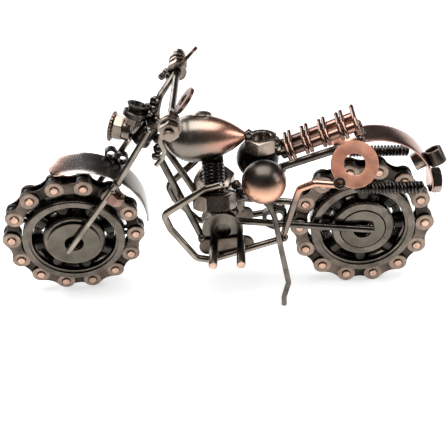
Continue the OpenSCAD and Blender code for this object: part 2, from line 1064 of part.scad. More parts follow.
frame_beads = [
    [[-21.9, -3.7, 77.1], 2.5], [[-21.9, 3.7, 77.1], 2.5],
    [[-22.5, 0, 80], 2.4], [[-19.8, 0, 78.6], 2.2],
    [[-6, -10.4, 33.4], 2.4], [[-6, 9.6, 41.4], 2.4], [[3, -6.6, 44.6], 2.6], [[8.6, -7.2, 46], 3],
    [[12.6, 0, 50], 3.2], [[14.2, -4.4, 52.4], 2.9], [[10.4, 5, 51.4], 2.6], [[30.8, -12.2, 33.2], 2.4],
    [[30.8, 12.2, 33.2], 2.4], [[29, -3, 63.4], 2.8], [[31, 1.6, 60.8], 2.4], [[17.4, 0, 79.8], 2.4],
    [[28.6, 0, 76.2], 2.2], [[64.6, -5.4, 77.4], 2.2], [[64.6, 5.4, 77.4], 2.2], [[22, 0, 60.5], 2.6],
    [[30.2, -3.6, 72.8], 2.2], [[30.2, 3.6, 72.8], 2.2], [[64, -3.6, 80], 2.6], [[64, 3.6, 80], 2.6],
    [[66.4, 1, 76.4], 2.6], [[57.2, -17.2, 62.1], 1.8], [[57.2, 17.2, 62.1], 1.8],
    [[70.5, -7.2, 33.4], 1.6], [[70.5, 7.2, 33.4], 1.6], [[24.6, -9.6, 50.4], 2.2]
];

module frame_welds() {
    color("SlateGray")
        bike()
            beads(frame_beads);
}

front_outer_links();
front_inner_links();
front_chain_pins();
front_chain_rollers();
front_outer_race();
front_wheel_welds();
front_balls();
front_ball_cage();
front_inner_race();
front_hub_discs();
rear_outer_links();
rear_inner_links();
rear_chain_pins();
rear_chain_rollers();
rear_outer_race();
rear_wheel_welds();
rear_balls();
rear_ball_cage();
rear_inner_race();
rear_hub_discs();
steering_stem();
fork_legs();
fork_nuts();
front_fender();
fender_bushes();
headlight_rim();
headlight_shell();
headlight_nuts();
gauge_cup();
handlebar();
grip_nuts();
grip_bolts();
levers();
mirrors();
front_welds();
head_sleeve();
down_tubes();
crash_bar_left();
crash_bar_right();
chainstays();
rear_stay();
seat_rail();
fuel_tank();
tank_cap();
cylinder_bolts();
crankcase();
footpeg_plates();
footpegs();
side_balls();
seat_nut();
seat_rods();
seat_clips();
side_washers();
exhaust_springs();
rear_fender();
tail_light();
tail_nuts();
kickstand();
stand_nut();
frame_welds();
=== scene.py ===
"""Welded scrap-metal motorcycle: ball bearings, roller chain, nuts, bolts and bent wire.

Shapes are drawn in millimetres in the same straight-ahead layout as the CAD source, and each
piece is then placed in the CAD frame, in metres. -X is the front of the bike and +Y its right.
"""

import json
import math

import bmesh
import bpy
from mathutils import Matrix, Vector, noise


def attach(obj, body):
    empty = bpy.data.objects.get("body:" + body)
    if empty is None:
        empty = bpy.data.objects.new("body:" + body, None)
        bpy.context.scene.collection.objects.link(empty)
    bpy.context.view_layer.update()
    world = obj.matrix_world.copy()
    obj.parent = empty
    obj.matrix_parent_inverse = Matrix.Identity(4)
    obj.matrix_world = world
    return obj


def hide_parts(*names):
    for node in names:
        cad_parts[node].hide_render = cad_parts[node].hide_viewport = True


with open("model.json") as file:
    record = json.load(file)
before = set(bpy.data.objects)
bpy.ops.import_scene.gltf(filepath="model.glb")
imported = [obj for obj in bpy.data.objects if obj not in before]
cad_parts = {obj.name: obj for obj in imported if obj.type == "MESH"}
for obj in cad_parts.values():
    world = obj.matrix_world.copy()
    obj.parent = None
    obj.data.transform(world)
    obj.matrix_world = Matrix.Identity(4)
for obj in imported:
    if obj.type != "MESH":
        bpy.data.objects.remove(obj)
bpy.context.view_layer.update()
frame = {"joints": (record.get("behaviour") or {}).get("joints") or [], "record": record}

MM = 0.001
JOINTS = {joint["name"]: joint for joint in frame["joints"]}
BODY_OF = {node: body for body, nodes in frame["record"]["behaviour"]["bodies"].items() for node in nodes}
SLOT_OF = {part["node"]: part["material_slot"] for part in frame["record"]["subparts"]}

# ---- Driving dimensions, in millimetres ----
WHEELBASE = 134
FRONT_AXLE_Z = 32.75
REAR_AXLE_Z = 32.08
REST_TURN = math.radians(10.2)
HEAD = Vector((-26, 0, 84))
CHAIN_PITCH = 12.7
LINK_COUNT = 14
BEARING_BORE = 20
BEARING_W = 14
WIRE_R = 1.6
FORK_R = 1.4
BAR_R = 1.5
STAND_R = 1.3

# ---- Placements: from drawing millimetres to frame metres ----
steering_joint = JOINTS["steering"]
STEER_AXIS = Vector(steering_joint["axis"])
SHIFT = Vector(steering_joint["pos_m"]) - HEAD * MM
BIKE = Matrix.Translation(SHIFT) @ Matrix.Scale(MM, 4)
TURNED = Matrix.Translation(HEAD) @ Matrix.Rotation(REST_TURN, 4, STEER_AXIS) @ Matrix.Translation(-HEAD)
STEERED = BIKE @ TURNED
AXLE_UP = Matrix.Rotation(math.radians(90), 4, "X")
FRONT_WHEEL = STEERED @ Matrix.Translation((-WHEELBASE / 2, 0, FRONT_AXLE_Z)) @ AXLE_UP
REAR_WHEEL = BIKE @ Matrix.Translation((WHEELBASE / 2, 0, REAR_AXLE_Z)) @ AXLE_UP


def aim(position, direction, spin=0.0):
    """Matrix that puts a shape drawn around +Z at a position, with its axis along a direction."""
    turn = Vector(direction).to_track_quat("Z", "Y").to_matrix().to_4x4()
    return Matrix.Translation(position) @ turn @ Matrix.Rotation(spin, 4, "Z")


def flip(p):
    return (p[0], -p[1], p[2])


# ---- Shapes: each is a pair (points, faces) in millimetres ----
def moved(shape, matrix):
    points, faces = shape
    return [matrix @ Vector(p) for p in points], faces


def joined(shapes):
    points, faces = [], []
    for shape_points, shape_faces in shapes:
        start = len(points)
        points += shape_points
        faces += [[start + i for i in face] for face in shape_faces]
    return points, faces


def stitched(rings, closed=False):
    """Faces between neighbouring rings; a ring of one point is a pole."""
    points, faces, starts = [], [], []
    for ring in rings:
        starts.append(len(points))
        points += ring
    pairs = list(zip(range(len(rings)), range(1, len(rings))))
    if closed:
        pairs.append((len(rings) - 1, 0))
    for a, b in pairs:
        count = max(len(rings[a]), len(rings[b]))
        for i in range(count):
            j = (i + 1) % count
            corners = [
                starts[a] + i % len(rings[a]),
                starts[a] + j % len(rings[a]),
                starts[b] + j % len(rings[b]),
                starts[b] + i % len(rings[b]),
            ]
            faces.append(list(dict.fromkeys(corners)))
    return points, faces


def arc(centre, radius, start, end, steps):
    """Points on an arc in the plane, angles in degrees."""
    angles = [math.radians(start + (end - start) * k / steps) for k in range(steps + 1)]
    return [(centre[0] + radius * math.cos(a), centre[1] + radius * math.sin(a)) for a in angles]


def rounded(corners, radius, steps=3):
    """A closed outline with every corner rounded, less where an edge is short."""
    count = len(corners)
    outline = []
    for i in range(count):
        before, here, after = (Vector(corners[(i + k) % count]) for k in (-1, 0, 1))
        u, v = (before - here), (after - here)
        reach = min(radius, u.length * 0.45, v.length * 0.45)
        start, end = here + u.normalized() * reach, here + v.normalized() * reach
        for k in range(steps + 1):
            t = k / steps
            outline.append((1 - t) ** 2 * start + 2 * t * (1 - t) * here + t**2 * end)
    return outline


def lathe(profile, segments=72, closed=True):
    """Revolves (radius, height) points around Z."""
    rings = []
    for r, z in profile:
        if r < 1e-6:
            rings.append([Vector((0, 0, z))])
            continue
        angles = [2 * math.pi * k / segments for k in range(segments)]
        rings.append([Vector((r * math.cos(a), r * math.sin(a), z)) for a in angles])
    return stitched(rings, closed)


def washer(radius, hole, thickness, edge=0.25, segments=72):
    half = thickness / 2
    corners = [(hole, -half), (radius, -half), (radius, half), (hole, half)]
    return lathe(rounded(corners, edge), segments)


def rod(radius, length, edge=0.3, segments=40):
    """Solid round bar from z = 0 to its length, with softened ends."""
    profile = [(0, 0), (radius - edge, 0)]
    profile += arc((radius - edge, edge), edge, -90, 0, 3)
    profile += arc((radius - edge, length - edge), edge, 0, 90, 3)
    profile += [(0, length)]
    return lathe(profile, segments, closed=False)


def ball(radius, rings=32):
    angles = [math.pi * k / rings for k in range(rings + 1)]
    profile = [(radius * math.sin(a), -radius * math.cos(a)) for a in angles]
    profile[0] = (0, -radius)
    profile[-1] = (0, radius)
    return lathe(profile, 2 * rings, closed=False)


def hex_radius(angle, flats):
    """Radius of a hexagon with slightly softened corners."""
    sharpness = 60
    total = sum(max(0.0, math.cos(angle - math.radians(60 * k))) ** sharpness for k in range(6))
    return flats / 2 / total ** (1 / sharpness)


def hex_nut(flats, thickness, hole, segments=96):
    """Chamfered hexagon nut around Z, centred, with a countersunk hole."""
    half = thickness / 2
    face_r = flats / 2 * 0.94
    sink = min(0.35, thickness * 0.12)

    def ring(kind, z):
        points = []
        for k in range(segments):
            a = 2 * math.pi * k / segments
            if kind == "side":
                r = hex_radius(a, flats)
                z_here = math.copysign(half - (r - face_r) * 0.5, z)
            else:
                r, z_here = kind, z
            points.append(Vector((r * math.cos(a), r * math.sin(a), z_here)))
        return points

    rings = [
        ring(hole, -half + sink), ring(hole + sink, -half), ring(face_r, -half), ring("side", -half),
        ring("side", half), ring(face_r, half), ring(hole + sink, half), ring(hole, half - sink),
    ]
    return stitched(rings, closed=True)


def hex_head(flats, thickness, segments=96):
    """Solid bolt head around Z, centred, chamfered on its lower face."""
    points, faces = hex_nut(flats, thickness, 0.4, segments)
    top = [len(points) - 1 - k for k in range(segments)]
    bottom = list(range(segments))
    return points, faces + [bottom, top]


def thread(radius, depth, pitch, length, segments=40, steps=8):
    """Bolt thread around Z from z = 0: a real helix."""
    rings = []
    for i in range(int(length / pitch * steps) + 1):
        z = i * pitch / steps
        ring = []
        for k in range(segments):
            turn = (z / pitch - k / segments) % 1
            height = min(1.0, max(0.0, 1.6 * (1 - abs(2 * turn - 1)) - 0.3))
            r = radius - depth * (1 - height)
            a = 2 * math.pi * k / segments
            ring.append(Vector((r * math.cos(a), r * math.sin(a), z)))
        rings.append(ring)
    return stitched(rings)


def bent(points, bend_r, step=9):
    """Path through corner points, each corner bent to one radius."""
    path = [Vector(points[0])]
    for p, q, s in zip(points, points[1:], points[2:]):
        u = (Vector(q) - Vector(p)).normalized()
        v = (Vector(s) - Vector(q)).normalized()
        turn = u.angle(v)
        n = (v - v.dot(u) * u).normalized()
        centre = Vector(q) - bend_r * math.tan(turn / 2) * u + bend_r * n
        count = max(2, math.ceil(math.degrees(turn) / step))
        for k in range(count + 1):
            a = turn * k / count
            path.append(centre + bend_r * (math.sin(a) * u - math.cos(a) * n))
    return path + [Vector(points[-1])]


def sweep(path, radius, sides=20, tips=True):
    """Round wire along a path, carried without twist, with softened tips."""
    headings = []
    for i in range(len(path)):
        before, after = path[max(0, i - 1)], path[min(len(path) - 1, i + 1)]
        headings.append((after - before).normalized())
    side = headings[0].orthogonal().normalized()
    rings = []
    for i, (point, heading) in enumerate(zip(path, headings)):
        side = (side - side.dot(heading) * heading).normalized()
        other = heading.cross(side)
        angles = [2 * math.pi * k / sides for k in range(sides)]
        ring = [radius * (math.cos(a) * side + math.sin(a) * other) for a in angles]
        if i == 0 and tips:
            soft = heading * radius * 0.25
            rings += [[point.copy()], [point + 0.72 * p for p in ring], [point + soft + p for p in ring]]
        elif i == len(path) - 1 and tips:
            soft = heading * radius * 0.25
            rings += [[point - soft + p for p in ring], [point + 0.72 * p for p in ring], [point.copy()]]
        else:
            rings.append([point + p for p in ring])
    return stitched(rings)


def wire(points, radius, bend_r=3.0, sides=20):
    return sweep(bent(points, bend_r) if len(points) > 2 else [Vector(p) for p in points], radius, sides)


def coil(radius, wire_r, pitch, length, segments=20):
    """Centre line of a coil spring around Z from z = 0."""
    count = int(length / pitch * segments)
    path = []
    for k in range(count + 1):
        a = 2 * math.pi * k / segments
        path.append(Vector((radius * math.cos(a), radius * math.sin(a), wire_r + k * pitch / segments)))
    return path


def bead(centre, radius, seed=0.0, lumps=0.16):
    """Weld bead: a ball with soft lumps."""
    bm = bmesh.new()
    bmesh.ops.create_icosphere(bm, subdivisions=3, radius=1)
    offset = Vector((seed * 3.1, seed * 1.7, seed * 2.3))
    points = []
    for v in bm.verts:
        broad = lumps * noise.noise(v.co * 1.7 + offset)
        small = 0.4 * lumps * noise.noise(v.co * 4.5 + offset)
        swell = 1 - lumps + broad + small
        points.append(Vector(centre) + v.co * radius * swell * 1.06)
    faces = [[v.index for v in f.verts] for f in bm.faces]
    bm.free()
    return points, faces


def plate(outlines, thickness, edge=0.22):
    """Flat plate around z = 0 with softened edges; the first outline is outside and the others are holes."""
    curve = bpy.data.curves.new("outline", "CURVE")
    curve.dimensions = "2D"
    curve.fill_mode = "BOTH"
    curve.extrude = thickness / 2 - edge
    curve.bevel_depth = edge
    curve.bevel_resolution = 2
    curve.offset = -edge
    for outline in outlines:
        spline = curve.splines.new("POLY")
        spline.points.add(len(outline) - 1)
        for point, (x, y) in zip(spline.points, outline):
            point.co = (x, y, 0, 1)
        spline.use_cyclic_u = True
    holder = bpy.data.objects.new("outline", curve)
    mesh = bpy.data.meshes.new_from_object(holder)
    bm = bmesh.new()
    bm.from_mesh(mesh)
    bmesh.ops.remove_doubles(bm, verts=bm.verts, dist=0.01)
    bm.verts.index_update()
    points = [v.co.copy() for v in bm.verts]
    faces = [[v.index for v in f.verts] for f in bm.faces]
    bm.free()
    bpy.data.objects.remove(holder)
    bpy.data.curves.remove(curve)
    bpy.data.meshes.remove(mesh)
    return points, faces


# ---- Materials ----
def mix_colour(nodes, links, factor, a, b):
    mix = nodes.new("ShaderNodeMix")
    mix.data_type = "RGBA"
    links.new(factor, mix.inputs["Factor"])
    for socket, value in ((mix.inputs[6], a), (mix.inputs[7], b)):
        if isinstance(value, tuple):
            socket.default_value = (*value, 1)
        else:
            links.new(value, socket)
    return mix.outputs[2]


def ramp(nodes, links, source, low, high):
    remap = nodes.new("ShaderNodeMapRange")
    remap.inputs["From Min"].default_value = low
    remap.inputs["From Max"].default_value = high
    links.new(source, remap.inputs["Value"])
    return remap.outputs["Result"]


def noise_node(nodes, links, coordinates, scale, detail=4.0, roughness=0.55):
    texture = nodes.new("ShaderNodeTexNoise")
    texture.inputs["Scale"].default_value = scale
    texture.inputs["Detail"].default_value = detail
    texture.inputs["Roughness"].default_value = roughness
    links.new(coordinates, texture.inputs["Vector"])
    return texture.outputs["Fac"]


def plated(name, dark, mid, rub, roughness=0.28, patch=160.0, wear=1.0, recess_patina_and_shade=1.0, grain=0.35, shifts=()):
    """Antique plating: dark patina with painted shade in the recesses, a patchy body colour, and rubbed metal
    along the edges.

    Each shift is (colour, axis, from, to): a colour that takes over along X, Y or Z, in millimetres.
    """
    material = bpy.data.materials.new(name)
    material.use_nodes = True
    nodes, links = material.node_tree.nodes, material.node_tree.links
    shader = nodes["Principled BSDF"]
    shader.inputs["Metallic"].default_value = 1.0

    place = nodes.new("ShaderNodeTexCoord").outputs["Object"]
    patches = noise_node(nodes, links, place, patch)
    colour = mix_colour(nodes, links, ramp(nodes, links, patches, 0.36, 0.66), dark, mid)
    split = nodes.new("ShaderNodeSeparateXYZ")
    links.new(place, split.inputs["Vector"])
    for second, axis, low, high in shifts:
        wobble = nodes.new("ShaderNodeMath")
        wobble.operation = "MULTIPLY_ADD"
        links.new(noise_node(nodes, links, place, 60.0), wobble.inputs[0])
        wobble.inputs[1].default_value = (high - low) * 0.5 * MM
        links.new(split.outputs[axis], wobble.inputs[2])
        amount = ramp(nodes, links, wobble.outputs[0], low * MM, high * MM)
        colour = mix_colour(nodes, links, amount, colour, second)

    # Rubbed edges: where a softened normal leaves the true one
    geometry = nodes.new("ShaderNodeNewGeometry")
    soft = nodes.new("ShaderNodeBevel")
    soft.samples = 4
    soft.inputs["Radius"].default_value = 0.35 * MM
    apart = nodes.new("ShaderNodeVectorMath")
    apart.operation = "DOT_PRODUCT"
    links.new(soft.outputs["Normal"], apart.inputs[0])
    links.new(geometry.outputs["Normal"], apart.inputs[1])
    edges = ramp(nodes, links, apart.outputs["Value"], 0.99, 0.88)
    broken = nodes.new("ShaderNodeMath")
    broken.operation = "MULTIPLY"
    links.new(edges, broken.inputs[0])
    flecks = noise_node(nodes, links, place, 700.0)
    links.new(ramp(nodes, links, flecks, 0.35, 0.35 + 0.4 / max(wear, 0.01)), broken.inputs[1])
    colour = mix_colour(nodes, links, broken.outputs[0], colour, rub)

    # Painted shade and dark patina in the recesses: ambient occlusion blends the colour towards near-black
    # there
    hidden = nodes.new("ShaderNodeAmbientOcclusion")
    hidden.samples = 4
    hidden.inputs["Distance"].default_value = 2.2 * MM
    depth = ramp(nodes, links, hidden.outputs["AO"], 0.75, 0.2)
    deep = nodes.new("ShaderNodeMath")
    deep.operation = "MULTIPLY"
    deep.inputs[1].default_value = 0.85 * recess_patina_and_shade
    links.new(depth, deep.inputs[0])
    colour = mix_colour(nodes, links, deep.outputs[0], colour, (0.012, 0.01, 0.009))
    links.new(colour, shader.inputs["Base Color"])

    # Fine grain, and a gloss that changes from place to place
    fine = noise_node(nodes, links, place, 1500.0, 3.0, 0.6)
    broad = noise_node(nodes, links, place, 260.0, 2.0)
    gloss = nodes.new("ShaderNodeMapRange")
    gloss.inputs["To Min"].default_value = roughness * 0.7
    gloss.inputs["To Max"].default_value = roughness * 1.4
    links.new(broad, gloss.inputs["Value"])
    links.new(gloss.outputs["Result"], shader.inputs["Roughness"])
    height = nodes.new("ShaderNodeMath")
    height.operation = "MULTIPLY_ADD"
    height.inputs[1].default_value = 2.5
    links.new(broad, height.inputs[0])
    links.new(fine, height.inputs[2])
    bump = nodes.new("ShaderNodeBump")
    bump.inputs["Strength"].default_value = grain
    bump.inputs["Distance"].default_value = 0.05 * MM
    links.new(height.outputs[0], bump.inputs["Height"])
    links.new(bump.outputs["Normal"], shader.inputs["Normal"])
    return material


MATERIALS = {
    "gunmetal": plated("gunmetal", (0.03, 0.026, 0.022), (0.1, 0.086, 0.073), (0.32, 0.24, 0.19), 0.25),
    "chain_plate": plated(
        "chain_plate", (0.06, 0.048, 0.04), (0.16, 0.124, 0.1), (0.55, 0.37, 0.28), 0.3, wear=2,
    ),
    "copper_pin": plated("copper_pin", (0.5, 0.32, 0.24), (0.76, 0.5, 0.38), (0.9, 0.65, 0.52), 0.34, 300),
    "race_steel": plated("race_steel", (0.09, 0.078, 0.066), (0.18, 0.152, 0.125), (0.4, 0.32, 0.26), 0.24),
    "ball_steel": plated(
        "ball_steel", (0.07, 0.064, 0.058), (0.14, 0.13, 0.118), (0.3, 0.28, 0.26), 0.16, recess_patina_and_shade=0.7,
    ),
    "hub_steel": plated(
        "hub_steel", (0.09, 0.08, 0.064), (0.15, 0.132, 0.106), (0.32, 0.25, 0.19), 0.16, 90,
    ),
    "wire_steel": plated("wire_steel", (0.08, 0.07, 0.06), (0.22, 0.19, 0.16), (0.4, 0.34, 0.29), 0.2, 110),
    "wire_copper": plated(
        "wire_copper", (0.16, 0.13, 0.11), (0.26, 0.2, 0.165), (0.5, 0.38, 0.3), 0.22, 110,
        shifts=[((0.66, 0.38, 0.27), 2, 54, 61)],
    ),
    "tank_bronze": plated(
        "tank_bronze", (0.2, 0.175, 0.15), (0.27, 0.23, 0.19), (0.42, 0.32, 0.26), 0.27, 45,
        shifts=[((0.58, 0.3, 0.22), 0, -3, 10), ((0.2, 0.175, 0.148), 2, 78, 72)],
    ),
    "copper": plated("copper", (0.8, 0.36, 0.24), (0.98, 0.52, 0.37), (1.0, 0.76, 0.6), 0.5, 120),
    "fender_brown": plated(
        "fender_brown", (0.16, 0.09, 0.075), (0.3, 0.17, 0.14), (0.6, 0.4, 0.33), 0.22, 60,
        # Along X the front mudguard runs bright copper at its front end, then pale pinkish grey, then dark
        # grey: partly plating tone, partly painted reflection of the lamps and the dark room. The last band
        # gives the rear mudguard its reddish brown.
        shifts=[
            ((0.7, 0.45, 0.38), 0, -60, -78),
            ((0.5, 0.45, 0.43), 0, -66, -58),
            ((0.2, 0.18, 0.165), 0, -56, -48),
            ((0.4, 0.24, 0.2), 0, 40, 50),
        ],
    ),
    "thread_dark": plated(
        "thread_dark", (0.02, 0.018, 0.016), (0.07, 0.062, 0.054), (0.34, 0.3, 0.26), 0.24,
    ),
    "nut_pewter": plated("nut_pewter", (0.2, 0.165, 0.138), (0.38, 0.3, 0.245), (0.62, 0.46, 0.37), 0.24),
    "weld": plated("weld", (0.06, 0.05, 0.044), (0.2, 0.17, 0.148), (0.42, 0.36, 0.31), 0.2, 400, grain=0.8),
}
# Variants worn by single pieces, whose material slot stays the one above
CLIP_COPPER = plated("clip_copper", (0.16, 0.09, 0.07), (0.36, 0.22, 0.17), (0.66, 0.46, 0.37), 0.24, 160)
DARK_COPPER = plated("dark_copper", (0.12, 0.075, 0.06), (0.34, 0.2, 0.155), (0.7, 0.46, 0.36), 0.28, 140)
RIM_STEEL = plated("rim_steel", (0.05, 0.04, 0.034), (0.17, 0.135, 0.11), (0.7, 0.44, 0.35), 0.26, wear=2)
ROD_STEEL = plated(
    "rod_steel", (0.03, 0.024, 0.02), (0.1, 0.075, 0.06), (0.36, 0.24, 0.19), 0.22, 140,
    shifts=[((0.4, 0.22, 0.17), 0, 38, 60)],
)
# Lighter steel for the fork legs, levers and near crash bar; on the near crash bar its extra lightness is a
# painted highlight, as the far crash bar of the same wire keeps the darker slot colour.
FORK_STEEL = plated("fork_steel", (0.2, 0.17, 0.14), (0.36, 0.31, 0.255), (0.5, 0.44, 0.37), 0.2, 110)
# Painted shade: the inner link plates and the rollers, of the same steel as the outer plates, are made
# near-black where they sit between the outer plates.
LINK_PAINTED_SHADE = plated("link_painted_shade", (0.014, 0.012, 0.01), (0.05, 0.04, 0.034), (0.42, 0.32, 0.26), 0.26)
LOBE_COPPER = plated("lobe_copper", (0.2, 0.155, 0.125), (0.34, 0.25, 0.195), (0.62, 0.42, 0.32), 0.3, 200)
# Painted shade: the ball cage is made near-black, standing in for the shade deep between the races.
CAGE_PAINTED_SHADE = plated("cage_painted_shade", (0.02, 0.018, 0.015), (0.06, 0.053, 0.046), (0.26, 0.23, 0.2), 0.22)
SIDE_BALL_PAINTED_LIGHT = plated(
    "side_ball", (0.07, 0.058, 0.05), (0.11, 0.092, 0.08), (0.2, 0.15, 0.125), 0.3, 40, recess_patina_and_shade=0.5,
    # Painted reflection and painted shade: each ball is dark at the top, bright copper lower down where the
    # floor's glow is painted in, darker again at the bottom, and the far ball (+Y) is painted near-black as
    # shade.
    shifts=[
        ((0.8, 0.45, 0.31), 2, 66, 58),
        ((0.16, 0.105, 0.085), 2, 57, 52),
        ((0.014, 0.012, 0.011), 1, 0, 5),
    ],
)


def piece(node, shapes, placement, material=None, sharp=32, accents=(), accent_material=None):
    """Makes one detailed piece that stands for a CAD node and rides on its body.

    The accents are shapes of the same piece that carry a second material.
    """
    points, faces = moved(joined([*shapes, *accents]), placement)
    plain_faces = sum(len(shape_faces) for _, shape_faces in shapes)
    mesh = bpy.data.meshes.new(node + "_fine")
    mesh.from_pydata([tuple(p) for p in points], [], faces)
    for face in mesh.polygons:
        face.material_index = int(face.index >= plain_faces)
    mesh.validate()
    bm = bmesh.new()
    bm.from_mesh(mesh)
    bmesh.ops.recalc_face_normals(bm, faces=bm.faces)
    bm.to_mesh(mesh)
    bm.free()
    mesh.shade_smooth()
    mesh.set_sharp_from_angle(angle=math.radians(sharp))
    made = bpy.data.objects.new(node + "_fine", mesh)
    bpy.context.scene.collection.objects.link(made)
    made.data.materials.append(material or MATERIALS[SLOT_OF[node]])
    if accent_material:
        made.data.materials.append(accent_material)
    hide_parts(node)
    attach(made, BODY_OF[node])
    return made


# ---- Wheels ----
PIN_CIRCLE_R = CHAIN_PITCH / (2 * math.sin(math.pi / LINK_COUNT))
LINK_STEP = 2 * math.pi / LINK_COUNT
LOBE_R = 4.25
PIN_R = 1.8
WAIST_HALF = 2.6
BALL_R = 3.97
BALL_COUNT = 8
BALL_CIRCLE_R = 16.75
RACE_HALF_W = BEARING_W / 2


def link_outline():
    """Two round lobes joined by a waist that is tangent to both."""
    reach = CHAIN_PITCH / 2
    drop = LOBE_R - WAIST_HALF
    waist_y = (reach**2 - drop**2) / (2 * drop)
    waist_r = waist_y - WAIST_HALF
    meet = math.degrees(math.atan2(waist_y, -reach))
    away = math.degrees(math.atan2(-waist_y, reach))
    right = arc((reach, 0), LOBE_R, -meet, meet, 20)
    top = arc((0, waist_y), waist_r, away, -180 - away, 8)[1:-1]
    left = [(-x, -y) for x, y in right]
    bottom = [(-x, -y) for x, y in top]
    return right + top + left + bottom


def link_plates(phase, first, inner_y):
    """Every second pair of link plates around the ring, axle along Z."""
    holes = [arc((x, 0), PIN_R + 0.12, 360, 15, 23) for x in (-CHAIN_PITCH / 2, CHAIN_PITCH / 2)]
    flat = plate([link_outline(), *holes], 1.0, 0.2)
    apothem = PIN_CIRCLE_R * math.cos(LINK_STEP / 2)
    shapes = []
    for i in range(first, LINK_COUNT, 2):
        turn = Matrix.Rotation(phase - (i + 0.5) * LINK_STEP, 4, "Z")
        for side in (-1, 1):
            place = Matrix.Translation((apothem, 0, side * (inner_y + 0.5)))
            shapes.append(moved(flat, turn @ (place @ Matrix.Rotation(math.pi / 2, 4, "Z"))))
    return shapes


def around(shape, count, phase, radius, height=0.0):
    """Copies of a shape, evenly spaced on a circle."""
    turns = [phase - i * 2 * math.pi / count for i in range(count)]
    place = Matrix.Translation((radius, 0, height))
    return [moved(shape, Matrix.Rotation(a, 4, "Z") @ place) for a in turns]


def chain_pin():
    """Pin with riveted ends: a shallow dome with a pressed dimple."""
    half = 4.6
    end = [
        (0, half - 0.16), (0.45, half - 0.1), (0.8, half), (1.35, half), (1.62, half - 0.12),
        (PIN_R, half - 0.42),
    ]
    profile = [(r, -z) for r, z in end] + end[::-1]
    return lathe(profile, 28, closed=False)


def cage_half():
    """Pressed ribbon cage: flat between the balls and cupped over each of them."""
    inner, outer, sheet = 15.0, 18.6, 0.55
    rings = []
    steps = 24 * BALL_COUNT
    for k in range(steps):
        a = 2 * math.pi * k / steps
        off = (a * BALL_COUNT / (2 * math.pi) + 0.5) % 1 - 0.5
        s = off * 2 * math.pi * BALL_CIRCLE_R / BALL_COUNT
        reach = BALL_R + 0.25
        rise = math.sqrt(max(0.0, reach**2 - s**2)) if abs(s) < reach else 0.0
        z = max(0.12, rise)
        ring = [(inner, z), (outer, z), (outer, z + sheet), (inner, z + sheet)]
        rings.append([Vector((r * math.cos(a), r * math.sin(a), h)) for r, h in ring])
    return stitched(rings, closed=True)


def make_wheel(end, placement, phase, cage_turn, hub_r, hub_hole, hub_in, hub_t):
    """One wheel: chain ring, welds, bearing and the two discs that close its bore."""
    # Raised lobe around each pin, on the outside of the outer links
    bosses = []
    for side in (-1, 1):
        boss = moved(washer(4.0, PIN_R + 0.35, 0.3, 0.12, 40), Matrix.Translation((0, 0, side * 3.7)))
        bosses += around(boss, LINK_COUNT, phase, PIN_CIRCLE_R)
    piece(end + "_outer_links", link_plates(phase, 0, 2.7), placement, None, 32, bosses, LOBE_COPPER)
    # Painted shade: the inner plates and the rollers below are near-black, darker than the outer plates of
    # the same steel.
    piece(end + "_inner_links", link_plates(phase, 1, 1.65), placement, LINK_PAINTED_SHADE)
    piece(end + "_chain_pins", around(chain_pin(), LINK_COUNT, phase, PIN_CIRCLE_R), placement)
    roller = washer(3.87, PIN_R + 0.05, 3.1, 0.3, 40)
    piece(end + "_chain_rollers", around(roller, LINK_COUNT, phase, PIN_CIRCLE_R), placement, LINK_PAINTED_SHADE)
    welds = []
    for side in (-1, 1):
        for i in range(0, LINK_COUNT, 2):
            turn = Matrix.Rotation(phase - i * LINK_STEP, 4, "Z")
            welds.append(moved(bead((23.95, 0, side * 2.1), 1.15, i + side), turn))
    piece(end + "_wheel_welds", welds, placement)

    groove = arc((BALL_CIRCLE_R, 0), BALL_R + 0.05, 50, -50, 16)
    outer = [
        (19.3, -5.8), (20.4, -5.8), (20.4, -7), (22.9, -7), (23.5, -6.4), (23.5, 6.4), (22.9, 7),
        (20.4, 7), (20.4, 5.8), (19.3, 5.8),
    ]
    piece(end + "_outer_race", [lathe(rounded(outer, 0.22, 2) + groove, 120)], placement)
    groove = arc((BALL_CIRCLE_R, 0), BALL_R + 0.05, 130, 230, 16)
    bore = BEARING_BORE / 2
    inner = [
        (14.2, -6.2), (13.4, -7), (bore + 0.5, -7), (bore, -6.5), (bore, 6.5), (bore + 0.5, 7),
        (13.4, 7), (14.2, 6.2),
    ]
    # Known fault: this profile crosses itself and the balls cut through it. Its right order is inner + groove
    piece(end + "_inner_race", [lathe(inner[::-1] + groove, 120)], placement)
    piece(end + "_balls", around(ball(BALL_R), BALL_COUNT, cage_turn, BALL_CIRCLE_R), placement)
    between_balls = cage_turn + math.pi / BALL_COUNT
    rivets = around(rod(0.65, 2.2, 0.3, 14), BALL_COUNT, between_balls, BALL_CIRCLE_R, -1.1)
    ribbon = moved(cage_half(), Matrix.Rotation(cage_turn, 4, "Z"))
    ribbons = [ribbon, moved(ribbon, Matrix.Scale(-1, 4, (0, 0, 1)))]
    # Painted shade: the cage is near-black for the shade between the races.
    piece(end + "_ball_cage", [*ribbons, *rivets], placement, CAGE_PAINTED_SHADE, 50)
    disc = washer(hub_r, hub_hole, hub_t, 0.3, 96)
    discs = [moved(disc, Matrix.Translation((0, 0, side * (hub_in + hub_t / 2)))) for side in (-1, 1)]
    piece(end + "_hub_discs", discs, placement)


make_wheel("front", FRONT_WHEEL, math.radians(97.46), math.radians(8), 11.8, 4.3, RACE_HALF_W, 1.3)
make_wheel("rear", REAR_WHEEL, math.radians(-0.26), 0.0, 9.95, 4.4, RACE_HALF_W - 1.3, 1.6)

# ---- Steering head and fork ----
fork_y = RACE_HALF_W + 1.35 + FORK_R
FORK_FOOT = (-70.5, -fork_y, 29.3)
FORK_KNEE = (-41.8, -fork_y, 65.7)
FORK_TOP = (-24.9, -7, 89.1)
FORK_NUT_SPIN = 0.5
SLEEVE_H = 8
CLAMP_T = 2.4


